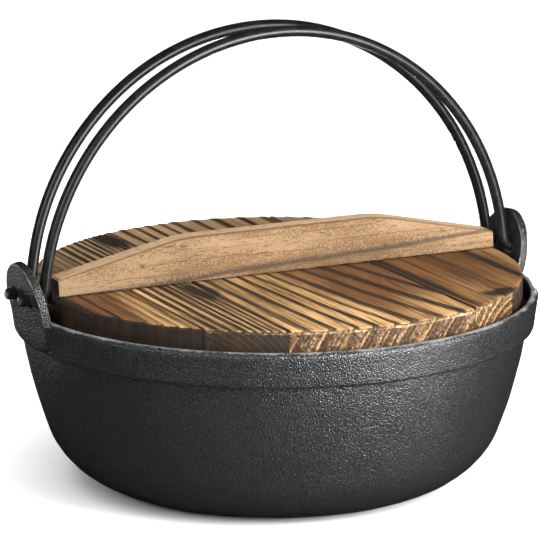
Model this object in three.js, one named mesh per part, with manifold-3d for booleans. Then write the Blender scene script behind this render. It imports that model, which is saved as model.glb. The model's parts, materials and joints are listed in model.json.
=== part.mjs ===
// Cast iron hotpot with a charred wooden lid and two swinging wire bails.
// Millimetres, +Z up, origin at the centre of the base. X runs from ear to ear, -Y is the front.
import * as THREE from "three";
import { mergeVertices } from "three/addons/utils/BufferGeometryUtils.js";
import Module from "manifold-3d";

// Casting: bowl, rim band and the ledge that carries the lid
const POT_HEIGHT = 94;
const RIM_RADIUS = 130;
const RIM_WALL = 4;
const RIM_ROUND_OUTSIDE = 2.4;
const RIM_ROUND_INSIDE = 1.2;
const BAND_HEIGHT = 17;
const BAND_DRAFT = 1.7;
const BAND_EDGE_ROUND = 2;
const WALL_STEP_IN = 5.3;
const WALL_THICKNESS = 5;
const WALL_ARC_RADIUS = 250;
const CORNER_RADIUS = 41;
const CORNER_LEAN = THREE.MathUtils.degToRad(20);
const LEDGE_DEPTH = 10;
const LEDGE_OVERLAP = 4;
const LEDGE_LIP_HEIGHT = 5;
const LEDGE_SKIRT_HEIGHT = 11;

// Ears: tongues cast into the band, leaning out as they rise, each with two holes for the bails
const EAR_WIDTH = 41;
const EAR_THICKNESS = 4.6;
const EAR_RISE = 26.5;
const EAR_DROP = 16;
const EAR_TOE_RADIUS = 15;
const EAR_EDGE_ROUND = 1;
const EAR_LEAN = THREE.MathUtils.degToRad(11.7);
const EAR_SET_IN = 0.95;
const HOLE_SPACING = 16.4;
const HOLE_RISE = 9.5;
const HOLE_CLEARANCE = 1;

// Bails: bent steel wire, one in front and one behind
const WIRE_DIAMETER = 5.5;
const LEG_CLEARANCE = 0.6;
const BAIL_INSET = 3.4;
const ARCH_CENTRE_DROP = 6.1;
const BEND_REACH = 5;
const TIP_PROUD = 5.2;
const FRONT_LEAN = THREE.MathUtils.degToRad(0.8);
const REAR_LEAN = THREE.MathUtils.degToRad(3.7);

// Lid: softwood boards pegged edge to edge, lying loose and a little off centre on the ledge
const LID_THICKNESS = 18.8;
const LID_SIDE_CLEARANCE = 5.5;
const LID_EDGE_ROUND = 1.8;
const LID_SHIFT_X = 0.8;
const LID_SHIFT_Y = -2.4;
const OUTER_BOARD_WIDTH = 38.5;
const SIDE_BOARD_WIDTH = 33;
const BOARD_CHAMFER = 0.7;
const PEG_DIAMETER = 6;
const PEG_LENGTH = 24;
const PEG_POINT = 1;
const PEG_OFFSET = 55;

// Bar: sawn grip across the boards, held in a sliding dovetail
const BAR_HEIGHT = 22.5;
const BAR_END_HEIGHT = 8.5;
const BAR_TOP_LENGTH = 108;
const BAR_THICKNESS = 13;
const BAR_TOP_THICKNESS = 7;
const BAR_END_INSET = 1.5;
const BAR_EDGE_ROUND = 0.8;
const BAR_SHOULDER_ROUND = 9;
const DOVETAIL_DEPTH = 5;
const DOVETAIL_NECK = 7.5;
const DOVETAIL_FLARE = 1.4;

// Gap kept between pieces that lie on or in each other
const SEAT_GAP = 0.3;

// How far a cutting shape runs past what it cuts, and the distance at which corners count as one
const CUT_MARGIN = 1;
const WELD_DISTANCE = 1e-4;

// Facets: steps round the pot and lid, round a wire, and along an arch
const TURN_STEPS = 72;
const SECTION_ARC_STEPS = 3;
const OUTLINE_ARC_STEPS = 7;
const ROUND_STEPS = 2;
const WIRE_ARC_STEPS = 5;
const ARCH_STEPS = 44;
const BEND_STEPS = 5;
const HOLE_STEPS = 16;
const PEG_STEPS = 8;

// Sizes that follow from the ones above
const rimInnerRadius = RIM_RADIUS - RIM_WALL;
const bandBottom = POT_HEIGHT - BAND_HEIGHT;
const ledgeHeight = POT_HEIGHT - LEDGE_DEPTH;
const lidRadius = rimInnerRadius - LID_SIDE_CLEARANCE;
const lidBottom = ledgeHeight + SEAT_GAP;
const wireRadius = WIRE_DIAMETER / 2;
const holeRadius = wireRadius + HOLE_CLEARANCE;
const pivotHeight = POT_HEIGHT + HOLE_RISE;
const earInnerFace = RIM_RADIUS - EAR_SET_IN;
const earOuterFace = earInnerFace + EAR_THICKNESS / Math.cos(EAR_LEAN);

const wasm = await Module();
wasm.setup();

// A geometry as a solid that can be joined and cut
function solidFrom(geometry) {
  const bare = geometry.clone();
  bare.deleteAttribute("normal");
  bare.deleteAttribute("uv");
  const merged = mergeVertices(bare, WELD_DISTANCE);
  const vertProperties = new Float32Array(merged.attributes.position.array);
  const triVerts = new Uint32Array(merged.index.array);
  return new wasm.Manifold(new wasm.Mesh({ numProp: 3, vertProperties, triVerts }));
}

// A solid back as a geometry
function geometryFrom(solid) {
  const mesh = solid.getMesh();
  const geometry = new THREE.BufferGeometry();
  geometry.setAttribute("position", new THREE.BufferAttribute(mesh.vertProperties, 3));
  geometry.setIndex(new THREE.BufferAttribute(mesh.triVerts, 1));
  geometry.computeVertexNormals();
  return geometry;
}

// A profile of radius and height turned round the Z axis
function revolve(points, steps) {
  const geometry = new THREE.LatheGeometry(points, steps);
  geometry.rotateX(Math.PI / 2);
  return geometry;
}

// An outline drawn in Y and Z, run along X from start to end, its edges rounded by round
function runAlongX(outline, start, end, round = 0) {
  const geometry = new THREE.ExtrudeGeometry(outline, {
    depth: end - start - 2 * round,
    bevelEnabled: round > 0,
    bevelThickness: round,
    bevelSize: round,
    bevelOffset: -round,
    bevelSegments: ROUND_STEPS,
    curveSegments: OUTLINE_ARC_STEPS,
  });
  const drawnUpright = new THREE.Matrix4().makeBasis(
    new THREE.Vector3(0, 1, 0),
    new THREE.Vector3(0, 0, 1),
    new THREE.Vector3(1, 0, 0),
  );
  geometry.applyMatrix4(drawnUpright);
  geometry.translate(start + round, 0, 0);
  return geometry;
}

// An outline drawn in X and Z, run along Y by depth about the middle
function runAlongY(outline, depth) {
  const geometry = new THREE.ExtrudeGeometry(outline, {
    depth,
    bevelEnabled: false,
    curveSegments: OUTLINE_ARC_STEPS,
  });
  geometry.rotateX(Math.PI / 2);
  geometry.translate(0, depth / 2, 0);
  return geometry;
}

function cylinderAlongX(radius, length, steps) {
  const geometry = new THREE.CylinderGeometry(radius, radius, length, steps);
  geometry.rotateZ(Math.PI / 2);
  return geometry;
}

// The casting's section: base, corner, wall, band and rim outside, then the ledge and bowl inside
function potSection() {
  const cornerRise = CORNER_RADIUS + (WALL_ARC_RADIUS - CORNER_RADIUS) * Math.sin(CORNER_LEAN);
  const wallTopRadius = RIM_RADIUS - WALL_STEP_IN;
  const wallArc = new THREE.Vector2(
    wallTopRadius - Math.sqrt(WALL_ARC_RADIUS ** 2 - (bandBottom - cornerRise) ** 2),
    cornerRise,
  );
  const cornerArc = new THREE.Vector2(
    wallArc.x + (WALL_ARC_RADIUS - CORNER_RADIUS) * Math.cos(CORNER_LEAN),
    CORNER_RADIUS,
  );
  const wallTopAngle = Math.asin((bandBottom - wallArc.y) / WALL_ARC_RADIUS);

  const innerWallRadius = WALL_ARC_RADIUS - WALL_THICKNESS;
  const innerCornerRadius = CORNER_RADIUS - WALL_THICKNESS;
  const ledgeInnerRadius = lidRadius - LEDGE_OVERLAP;
  const lipBottom = ledgeHeight - LEDGE_LIP_HEIGHT;
  const skirtAngle = Math.asin((lipBottom - LEDGE_SKIRT_HEIGHT - wallArc.y) / innerWallRadius);

  const bandBottomRadius = RIM_RADIUS - BAND_DRAFT;
  const down = -Math.PI / 2;

  const section = new THREE.Path();
  section.moveTo(0, 0);
  section.lineTo(cornerArc.x, 0);
  section.absarc(cornerArc.x, cornerArc.y, CORNER_RADIUS, down, -CORNER_LEAN, false);
  section.absarc(wallArc.x, wallArc.y, WALL_ARC_RADIUS, -CORNER_LEAN, wallTopAngle, false);
  section.lineTo(bandBottomRadius - BAND_EDGE_ROUND, bandBottom);
  section.quadraticCurveTo(bandBottomRadius, bandBottom, bandBottomRadius, bandBottom + BAND_EDGE_ROUND);
  section.lineTo(RIM_RADIUS, POT_HEIGHT - RIM_ROUND_OUTSIDE);
  section.quadraticCurveTo(RIM_RADIUS, POT_HEIGHT, RIM_RADIUS - RIM_ROUND_OUTSIDE, POT_HEIGHT);
  section.lineTo(rimInnerRadius + RIM_ROUND_INSIDE, POT_HEIGHT);
  section.quadraticCurveTo(rimInnerRadius, POT_HEIGHT, rimInnerRadius, POT_HEIGHT - RIM_ROUND_INSIDE);
  section.lineTo(rimInnerRadius, ledgeHeight);
  section.lineTo(ledgeInnerRadius, ledgeHeight);
  section.lineTo(ledgeInnerRadius, lipBottom);
  section.absarc(wallArc.x, wallArc.y, innerWallRadius, skirtAngle, -CORNER_LEAN, true);
  section.absarc(cornerArc.x, cornerArc.y, innerCornerRadius, -CORNER_LEAN, down, true);
  section.lineTo(0, WALL_THICKNESS);
  return section.getPoints(SECTION_ARC_STEPS);
}

// One ear: a tongue with a round head and a rounded toe, drawn about the pivot and leaned outward
function earSolid() {
  const half = EAR_WIDTH / 2;
  const slant = Math.cos(EAR_LEAN);
  const head = (EAR_RISE - HOLE_RISE) / slant - half;
  const toe = -(EAR_DROP + HOLE_RISE) / slant;
  const outline = new THREE.Shape();
  outline.moveTo(-half, head);
  outline.lineTo(-half, toe + EAR_TOE_RADIUS);
  outline.quadraticCurveTo(-half, toe, -half + EAR_TOE_RADIUS, toe);
  outline.lineTo(half - EAR_TOE_RADIUS, toe);
  outline.quadraticCurveTo(half, toe, half, toe + EAR_TOE_RADIUS);
  outline.lineTo(half, head);
  outline.absarc(0, head, half, 0, Math.PI, false);
  const tongue = runAlongX(outline, 0, EAR_THICKNESS, EAR_EDGE_ROUND);
  tongue.rotateY(EAR_LEAN);
  tongue.translate(earInnerFace, 0, pivotHeight);

  const mouth = new THREE.CylinderGeometry(rimInnerRadius, rimInnerRadius, BAND_HEIGHT, TURN_STEPS);
  mouth.rotateX(Math.PI / 2);
  mouth.translate(0, 0, POT_HEIGHT - BAND_HEIGHT / 2);
  return solidFrom(tongue).subtract(solidFrom(mouth));
}

function potGeometry() {
  let pot = solidFrom(revolve(potSection(), TURN_STEPS));
  const drillLength = earOuterFace - earInnerFace + 2 * (holeRadius * Math.tan(EAR_LEAN) + CUT_MARGIN);
  const rightEar = geometryFrom(earSolid());
  const leftEar = rightEar.clone().rotateZ(Math.PI);
  pot = pot.add(solidFrom(rightEar)).add(solidFrom(leftEar));
  for (const side of [-1, 1]) {
    for (const row of [-1, 1]) {
      const drill = cylinderAlongX(holeRadius, drillLength, HOLE_STEPS);
      drill.translate(side * (earInnerFace + earOuterFace) / 2, (row * HOLE_SPACING) / 2, pivotHeight);
      pot = pot.subtract(solidFrom(drill));
    }
  }
  return geometryFrom(pot);
}

// The wire's centre line about its pivot axis: tip, bend, arch, bend, tip, each with its own steps
class BailPath extends THREE.Curve {
  constructor() {
    super();
    const legX = earInnerFace - LEG_CLEARANCE - wireRadius;
    const rise = RIM_RADIUS - BAIL_INSET - HOLE_SPACING / 2;
    this.archHeight = rise + ARCH_CENTRE_DROP;
    this.archHalfSpan = legX / Math.sqrt(1 - (ARCH_CENTRE_DROP / this.archHeight) ** 2);
    this.archStart = Math.asin((ARCH_CENTRE_DROP + BEND_REACH) / this.archHeight);
    const bendTop = this.archPoint(this.archStart);
    const slope = (this.archHalfSpan * Math.tan(this.archStart)) / this.archHeight;
    const bendCorner = new THREE.Vector3(bendTop.x + slope * BEND_REACH, 0, 0);
    const bendEnd = new THREE.Vector3(bendCorner.x + BEND_REACH, 0, 0);
    const tip = new THREE.Vector3(earOuterFace + TIP_PROUD - wireRadius, 0, 0);
    this.tipLine = new THREE.LineCurve3(tip, bendEnd);
    this.bend = new THREE.QuadraticBezierCurve3(bendEnd, bendCorner, bendTop);
    this.tipX = tip.x;
    this.steps = 2 * (1 + BEND_STEPS) + ARCH_STEPS;
  }

  archPoint(angle) {
    const height = this.archHeight * Math.sin(angle) - ARCH_CENTRE_DROP;
    return new THREE.Vector3(this.archHalfSpan * Math.cos(angle), 0, height);
  }

  getPoint(t) {
    const step = t * this.steps;
    const mirrored = step > this.steps / 2;
    const fromTip = mirrored ? this.steps - step : step;
    let point;
    if (fromTip <= 1) {
      point = this.tipLine.getPoint(fromTip);
    } else if (fromTip <= 1 + BEND_STEPS) {
      point = this.bend.getPoint((fromTip - 1) / BEND_STEPS);
    } else {
      const along = (fromTip - 1 - BEND_STEPS) / ARCH_STEPS;
      point = this.archPoint(this.archStart + along * (Math.PI - 2 * this.archStart));
    }
    if (mirrored) point.x = -point.x;
    return point;
  }

  // Steps are shared out by piece and not by length, so that the tight bends stay round
  getPointAt(u) {
    return this.getPoint(u);
  }

  getTangentAt(u) {
    return this.getTangent(u);
  }
}

function bailGeometry() {
  const path = new BailPath();
  const section = new THREE.Shape();
  section.absarc(0, 0, wireRadius, 0, 2 * Math.PI, false);
  const sweep = new THREE.ExtrudeGeometry(section, {
    steps: path.steps,
    extrudePath: path,
    curveSegments: WIRE_ARC_STEPS,
  });
  let bail = solidFrom(sweep);
  for (const side of [-1, 1]) {
    const dome = new THREE.SphereGeometry(wireRadius, 2 * WIRE_ARC_STEPS, WIRE_ARC_STEPS);
    dome.rotateZ(Math.PI / 2);
    dome.translate(side * path.tipX, 0, 0);
    bail = bail.add(solidFrom(dome));
  }
  return geometryFrom(bail);
}

// The lid before it is parted into boards: a disc with its edges eased
function lidDisc() {
  const top = LID_THICKNESS - LID_EDGE_ROUND;
  const inner = lidRadius - LID_EDGE_ROUND;
  const section = new THREE.Path();
  section.moveTo(0, 0);
  section.lineTo(inner, 0);
  section.quadraticCurveTo(lidRadius, 0, lidRadius, LID_EDGE_ROUND);
  section.lineTo(lidRadius, top);
  section.quadraticCurveTo(lidRadius, LID_THICKNESS, inner, LID_THICKNESS);
  section.lineTo(0, LID_THICKNESS);
  return solidFrom(revolve(section.getPoints(SECTION_ARC_STEPS), TURN_STEPS));
}

// The dovetail's section with its mouth at mouthHeight, grown all round by clearance
function dovetailOutline(mouthHeight, floorHeight, clearance) {
  const neck = DOVETAIL_NECK / 2 + clearance;
  const foot = neck + DOVETAIL_FLARE;
  const outline = new THREE.Shape();
  outline.moveTo(-foot, floorHeight);
  outline.lineTo(foot, floorHeight);
  outline.lineTo(neck, mouthHeight);
  outline.lineTo(-neck, mouthHeight);
  outline.closePath();
  return outline;
}

// Board edges from left to right, measured from the middle of the lid; the middle board takes what is left
function boardEdges() {
  const outer = lidRadius - OUTER_BOARD_WIDTH;
  const inner = outer - SIDE_BOARD_WIDTH;
  const past = lidRadius + CUT_MARGIN;
  return [-past, -outer, -inner, inner, outer, past];
}

function boardGeometry(disc, groove, left, right) {
  const start = left + SEAT_GAP / 2;
  const end = right - SEAT_GAP / 2;
  const outline = new THREE.Shape();
  outline.moveTo(start, -CUT_MARGIN);
  outline.lineTo(end, -CUT_MARGIN);
  outline.lineTo(end, LID_THICKNESS - BOARD_CHAMFER);
  outline.lineTo(end - BOARD_CHAMFER - CUT_MARGIN, LID_THICKNESS + CUT_MARGIN);
  outline.lineTo(start + BOARD_CHAMFER + CUT_MARGIN, LID_THICKNESS + CUT_MARGIN);
  outline.lineTo(start, LID_THICKNESS - BOARD_CHAMFER);
  outline.closePath();
  let board = disc.intersect(solidFrom(runAlongY(outline, 2 * (lidRadius + CUT_MARGIN))));
  board = board.subtract(groove);
  for (const edge of [left, right]) {
    if (Math.abs(edge) > lidRadius) continue;
    for (const row of [-1, 1]) {
      const drill = cylinderAlongX(PEG_DIAMETER / 2 + SEAT_GAP, PEG_LENGTH + 2 * SEAT_GAP, PEG_STEPS);
      drill.translate(edge, row * PEG_OFFSET, LID_THICKNESS / 2);
      board = board.subtract(solidFrom(drill));
    }
  }
  return geometryFrom(board);
}

function pegGeometry() {
  const half = PEG_LENGTH / 2;
  const radius = PEG_DIAMETER / 2;
  const points = [
    new THREE.Vector2(0, -half),
    new THREE.Vector2(radius - PEG_POINT, -half),
    new THREE.Vector2(radius, -half + PEG_POINT),
    new THREE.Vector2(radius, half - PEG_POINT),
    new THREE.Vector2(radius - PEG_POINT, half),
    new THREE.Vector2(0, half),
  ];
  const geometry = new THREE.LatheGeometry(points, PEG_STEPS);
  geometry.rotateZ(Math.PI / 2);
  return geometry;
}

// The grip's side outline: upright ends, long slopes and a level top with eased shoulders
function barGeometry() {
  const endX = lidRadius - BAR_END_INSET;
  const topX = BAR_TOP_LENGTH / 2;
  const base = LID_THICKNESS + SEAT_GAP;
  const endTop = LID_THICKNESS + BAR_END_HEIGHT;
  const top = LID_THICKNESS + BAR_HEIGHT;
  const slope = (top - endTop) / (endX - topX);
  const easeDrop = BAR_SHOULDER_ROUND * slope;
  const outline = new THREE.Shape();
  outline.moveTo(-endX, base);
  outline.lineTo(endX, base);
  outline.lineTo(endX, endTop);
  outline.lineTo(topX + BAR_SHOULDER_ROUND, top - easeDrop);
  outline.quadraticCurveTo(topX, top, topX - BAR_SHOULDER_ROUND, top);
  outline.lineTo(-topX + BAR_SHOULDER_ROUND, top);
  outline.quadraticCurveTo(-topX, top, -topX - BAR_SHOULDER_ROUND, top - easeDrop);
  outline.lineTo(-endX, endTop);
  outline.closePath();
  const blank = solidFrom(runAlongY(outline, BAR_THICKNESS));

  const foot = BAR_THICKNESS / 2;
  const crest = BAR_TOP_THICKNESS / 2;
  const taper = new THREE.Shape();
  taper.moveTo(-foot, base - CUT_MARGIN);
  taper.lineTo(foot, base - CUT_MARGIN);
  taper.lineTo(foot, base);
  taper.lineTo(crest + BAR_EDGE_ROUND, top - BAR_EDGE_ROUND);
  taper.lineTo(crest, top + CUT_MARGIN);
  taper.lineTo(-crest, top + CUT_MARGIN);
  taper.lineTo(-crest - BAR_EDGE_ROUND, top - BAR_EDGE_ROUND);
  taper.lineTo(-foot, base);
  taper.closePath();
  const grip = blank.intersect(solidFrom(runAlongX(taper, -endX - CUT_MARGIN, endX + CUT_MARGIN)));

  const floor = LID_THICKNESS - DOVETAIL_DEPTH + SEAT_GAP;
  const tongueEnd = endX - BAR_EDGE_ROUND;
  const tongue = dovetailOutline(base + BAR_EDGE_ROUND, floor, 0);
  return geometryFrom(grip.add(solidFrom(runAlongX(tongue, -tongueEnd, tongueEnd))));
}

const castIron = new THREE.MeshStandardMaterial({ color: 0x2b2c2e, roughness: 0.62, metalness: 0.4 });
const blackWire = new THREE.MeshStandardMaterial({ color: 0x1d1f20, roughness: 0.42, metalness: 0.6 });
const charredBoard = new THREE.MeshStandardMaterial({ color: 0x8a6037, roughness: 0.75, metalness: 0 });
const sawnBar = new THREE.MeshStandardMaterial({ color: 0xb58a58, roughness: 0.8, metalness: 0 });
const bambooPeg = new THREE.MeshStandardMaterial({ color: 0xcbb27a, roughness: 0.7, metalness: 0 });

function namedMesh(name, geometry, material) {
  const mesh = new THREE.Mesh(geometry, material);
  mesh.name = name;
  return mesh;
}

function buildLid() {
  const lid = new THREE.Group();
  lid.position.set(LID_SHIFT_X, LID_SHIFT_Y, lidBottom);
  const disc = lidDisc();
  const grooveFloor = LID_THICKNESS - DOVETAIL_DEPTH;
  const grooveOutline = dovetailOutline(LID_THICKNESS + BOARD_CHAMFER, grooveFloor, SEAT_GAP);
  const groove = solidFrom(runAlongX(grooveOutline, -lidRadius - CUT_MARGIN, lidRadius + CUT_MARGIN));
  const edges = boardEdges();
  const pegShape = pegGeometry();
  let pegCount = 0;
  for (let i = 0; i + 1 < edges.length; i += 1) {
    const board = boardGeometry(disc, groove, edges[i], edges[i + 1]);
    lid.add(namedMesh(`lid_board_${i + 1}`, board, charredBoard));
    if (i === 0) continue;
    for (const row of [-1, 1]) {
      pegCount += 1;
      const peg = namedMesh(`lid_peg_${pegCount}`, pegShape, bambooPeg);
      peg.position.set(edges[i], row * PEG_OFFSET, LID_THICKNESS / 2);
      lid.add(peg);
    }
  }
  lid.add(namedMesh("lid_bar", barGeometry(), sawnBar));
  return lid;
}

function buildBail(name, row, lean) {
  const swing = new THREE.Group();
  swing.position.set(0, (row * HOLE_SPACING) / 2, pivotHeight);
  swing.rotation.x = -lean;
  swing.add(namedMesh(name, bailGeometry(), blackWire));
  return swing;
}

const hotpot = new THREE.Group();
hotpot.add(namedMesh("pot_body", potGeometry(), castIron));
hotpot.add(buildLid());
hotpot.add(buildBail("front_bail", -1, FRONT_LEAN));
hotpot.add(buildBail("rear_bail", 1, REAR_LEAN));

export default hotpot;
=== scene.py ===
# Cast iron hotpot with a charred board lid and two wire bails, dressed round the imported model.
# Metres, +Z up, origin at the centre of the base, X from ear to ear, -Y the front.
import bisect
import json
import math
import random

import bmesh
import bpy
from mathutils import Matrix, Vector, noise
from mathutils.kdtree import KDTree


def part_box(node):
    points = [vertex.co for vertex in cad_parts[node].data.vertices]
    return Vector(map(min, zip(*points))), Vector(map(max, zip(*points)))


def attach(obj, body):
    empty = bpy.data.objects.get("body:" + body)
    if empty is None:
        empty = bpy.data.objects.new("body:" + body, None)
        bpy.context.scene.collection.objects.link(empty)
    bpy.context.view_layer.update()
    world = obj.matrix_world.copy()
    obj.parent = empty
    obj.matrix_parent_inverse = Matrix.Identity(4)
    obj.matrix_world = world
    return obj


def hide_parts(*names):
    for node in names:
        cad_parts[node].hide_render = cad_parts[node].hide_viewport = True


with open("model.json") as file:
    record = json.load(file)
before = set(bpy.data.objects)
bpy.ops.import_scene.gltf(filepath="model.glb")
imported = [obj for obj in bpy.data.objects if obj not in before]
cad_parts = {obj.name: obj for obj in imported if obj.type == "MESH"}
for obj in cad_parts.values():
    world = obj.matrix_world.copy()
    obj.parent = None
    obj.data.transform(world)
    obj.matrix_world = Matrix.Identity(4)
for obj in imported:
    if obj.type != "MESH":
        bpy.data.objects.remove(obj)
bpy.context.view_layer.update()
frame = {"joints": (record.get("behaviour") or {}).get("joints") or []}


# Pot: one casting in grey iron, with the bowl, the raised rim band, the ledge for the lid and both
# ears out of one sand mould. It is seasoned black all over, and its rim and the ground edges of the
# ears are rubbed nearly bare; the ear corners also carry a painted highlight, and the band's lower
# edge a thin painted highlight line.
POT_HEIGHT = 0.094
RIM_RADIUS = 0.130
RIM_WALL = 0.004
RIM_ROUND_OUTSIDE = 0.0024
RIM_ROUND_INSIDE = 0.0012
BAND_HEIGHT = 0.017
BAND_DRAFT = 0.0017
BAND_EDGE_ROUND = 0.0014
WALL_STEP_IN = 0.0053
STEP_FILLET = 0.0012
WALL_THICKNESS = 0.005
WALL_ARC_RADIUS = 0.250
CORNER_RADIUS = 0.041
CORNER_LEAN = math.radians(20)
LEDGE_DEPTH = 0.010
LEDGE_INNER_RADIUS = 0.1165
LEDGE_LIP_HEIGHT = 0.005
LEDGE_SKIRT_HEIGHT = 0.011
LEDGE_ROUND = 0.001
POT_TURN_STEPS = 288
SEAM_MERGE = 1e-6

RIM_INNER_RADIUS = RIM_RADIUS - RIM_WALL
BAND_BOTTOM = POT_HEIGHT - BAND_HEIGHT
LEDGE_HEIGHT = POT_HEIGHT - LEDGE_DEPTH


def draw_line(bm, tip, x, z, steps=1):
    """Draws an outline on from its tip, straight to x, z, and returns the new tip."""
    start = tip.co.copy()
    end = Vector((x, 0, z))
    for step in range(1, steps + 1):
        tip = bmesh.ops.extrude_vert_indiv(bm, verts=[tip])["verts"][0]
        tip.co = start.lerp(end, step / steps)
    return tip


def sweep_arc(bm, end, centre, axis, angle, steps):
    """Draws the end of an outline or of a tube on about a centre and returns the new end."""
    turned = bmesh.ops.spin(
        bm, geom=end, cent=centre, axis=axis, angle=angle, steps=steps, use_duplicate=False
    )
    return turned["geom_last"]


def draw_arc(bm, tip, x, z, angle, steps):
    """Draws an outline on from its tip, round the centre x, z; a positive angle turns anticlockwise."""
    return sweep_arc(bm, [tip], (x, 0, z), (0, -1, 0), angle, steps)[0]


def pot_bowl():
    """The casting without its ears, as its section turned round the Z axis."""
    quarter = math.pi / 2
    corner_rise = CORNER_RADIUS + (WALL_ARC_RADIUS - CORNER_RADIUS) * math.sin(CORNER_LEAN)
    wall_top = RIM_RADIUS - WALL_STEP_IN
    wall_x = wall_top - math.sqrt(WALL_ARC_RADIUS**2 - (BAND_BOTTOM - corner_rise) ** 2)
    corner_x = wall_x + (WALL_ARC_RADIUS - CORNER_RADIUS) * math.cos(CORNER_LEAN)
    fillet_z = BAND_BOTTOM - STEP_FILLET
    wall_top_angle = math.asin((fillet_z - corner_rise) / WALL_ARC_RADIUS)
    band_foot = RIM_RADIUS - BAND_DRAFT

    bm = bmesh.new()
    tip = bm.verts.new((0, 0, 0))
    tip = draw_line(bm, tip, corner_x, 0, steps=12)
    tip = draw_arc(bm, tip, corner_x, CORNER_RADIUS, quarter - CORNER_LEAN, steps=26)
    tip = draw_arc(bm, tip, wall_x, corner_rise, CORNER_LEAN + wall_top_angle, steps=30)
    tip = draw_arc(bm, tip, tip.co.x + STEP_FILLET, fillet_z, -quarter, steps=4)
    tip = draw_line(bm, tip, band_foot - BAND_EDGE_ROUND, BAND_BOTTOM)
    tip = draw_arc(bm, tip, tip.co.x, BAND_BOTTOM + BAND_EDGE_ROUND, quarter, steps=5)
    tip = draw_line(bm, tip, RIM_RADIUS, POT_HEIGHT - RIM_ROUND_OUTSIDE, steps=8)
    tip = draw_arc(bm, tip, RIM_RADIUS - RIM_ROUND_OUTSIDE, tip.co.z, quarter, steps=6)
    tip = draw_line(bm, tip, RIM_INNER_RADIUS + RIM_ROUND_INSIDE, POT_HEIGHT)
    tip = draw_arc(bm, tip, tip.co.x, POT_HEIGHT - RIM_ROUND_INSIDE, quarter, steps=4)
    tip = draw_line(bm, tip, RIM_INNER_RADIUS, LEDGE_HEIGHT + LEDGE_ROUND, steps=5)
    tip = draw_arc(bm, tip, RIM_INNER_RADIUS - LEDGE_ROUND, tip.co.z, -quarter, steps=3)
    tip = draw_line(bm, tip, LEDGE_INNER_RADIUS + LEDGE_ROUND, LEDGE_HEIGHT, steps=3)
    tip = draw_arc(bm, tip, tip.co.x, LEDGE_HEIGHT - LEDGE_ROUND, quarter, steps=3)
    tip = draw_line(bm, tip, LEDGE_INNER_RADIUS, LEDGE_HEIGHT - LEDGE_LIP_HEIGHT, steps=2)

    inner_radius = WALL_ARC_RADIUS - WALL_THICKNESS
    skirt_z = tip.co.z - LEDGE_SKIRT_HEIGHT
    skirt_angle = math.asin((skirt_z - corner_rise) / inner_radius)
    tip = draw_line(bm, tip, wall_x + inner_radius * math.cos(skirt_angle), skirt_z, steps=4)
    tip = draw_arc(bm, tip, wall_x, corner_rise, -(skirt_angle + CORNER_LEAN), steps=16)
    tip = draw_arc(bm, tip, corner_x, CORNER_RADIUS, CORNER_LEAN - quarter, steps=14)
    draw_line(bm, tip, 0, WALL_THICKNESS, steps=10)

    outline = bm.verts[:] + bm.edges[:]
    bmesh.ops.spin(
        bm, geom=outline, axis=(0, 0, 1), angle=2 * math.pi, steps=POT_TURN_STEPS,
        use_merge=True, use_duplicate=False,
    )
    bmesh.ops.remove_doubles(bm, verts=bm.verts, dist=SEAM_MERGE)
    bmesh.ops.recalc_face_normals(bm, faces=bm.faces)
    return bm


front_hinge, rear_hinge = frame["joints"][:2]
PIVOT_HEIGHT = front_hinge["pos_m"][2]
EAR_WIDTH = 0.041
EAR_THICKNESS = 0.0046
EAR_RISE = 0.0265
EAR_DROP = 0.016
EAR_SET_IN = 0.00095
EAR_LEAN = math.radians(11.7)
EAR_EDGE_ROUND = 0.0008
EAR_COLUMNS = 28
EAR_ROWS = 30
EAR_TOE_SQUARENESS = 0.66
EAR_HOLE_RADIUS = 0.00375
EAR_HOLE_STEPS = 40
SQUARE_EDGE = math.radians(60)

EAR_TOP = POT_HEIGHT + EAR_RISE
EAR_TOE = POT_HEIGHT - EAR_DROP
EAR_INNER_FACE = RIM_RADIUS - EAR_SET_IN


def round_edges(bm, least_turn, radius, segments):
    """Rounds the edges whose two faces turn by more than an angle."""
    edges = [edge for edge in bm.edges if edge.calc_face_angle(0) > least_turn]
    bmesh.ops.bevel(
        bm, geom=edges, offset=radius, segments=segments, profile=0.5, affect="EDGES", material=-1
    )


def pot_ear(side):
    """One leaning ear: a flat tongue, round at the head and squarer at the toe, eased at its edges."""
    bm = bmesh.new()
    bmesh.ops.create_grid(bm, x_segments=EAR_COLUMNS, y_segments=EAR_ROWS, size=1)
    half_width = EAR_WIDTH / 2
    half_height = (EAR_TOP - EAR_TOE) / 2 / math.cos(EAR_LEAN)
    middle = ((EAR_TOP + EAR_TOE) / 2 - PIVOT_HEIGHT) / math.cos(EAR_LEAN)
    for vert in bm.verts:
        across, up, _ = vert.co
        roundness = 1 if up > 0 else EAR_TOE_SQUARENESS
        y = half_width * across * math.sqrt(1 - roundness * up**2 / 2)
        z = middle + half_height * up * math.sqrt(1 - roundness * across**2 / 2)
        vert.co = (0, y, z)
    outer = bmesh.ops.extrude_face_region(bm, geom=bm.faces[:])["geom"]
    outer_verts = [item for item in outer if isinstance(item, bmesh.types.BMVert)]
    bmesh.ops.translate(bm, vec=(EAR_THICKNESS, 0, 0), verts=outer_verts)
    bmesh.ops.recalc_face_normals(bm, faces=bm.faces)
    round_edges(bm, SQUARE_EDGE, EAR_EDGE_ROUND, segments=3)
    lean = Matrix.Rotation(EAR_LEAN, 4, "Y")
    seat = Matrix.Translation((EAR_INNER_FACE, 0, PIVOT_HEIGHT))
    face_about = Matrix.Rotation(0 if side > 0 else math.pi, 4, "Z")
    bmesh.ops.transform(bm, matrix=face_about @ seat @ lean, verts=bm.verts)
    return bm


CORNER_ANGLE = math.radians(48)


def smooth_faces(piece):
    """Shades the faces smoothly, but for sharp corners."""
    piece.data.shade_smooth()
    piece.data.set_sharp_from_angle(angle=CORNER_ANGLE)


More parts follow.
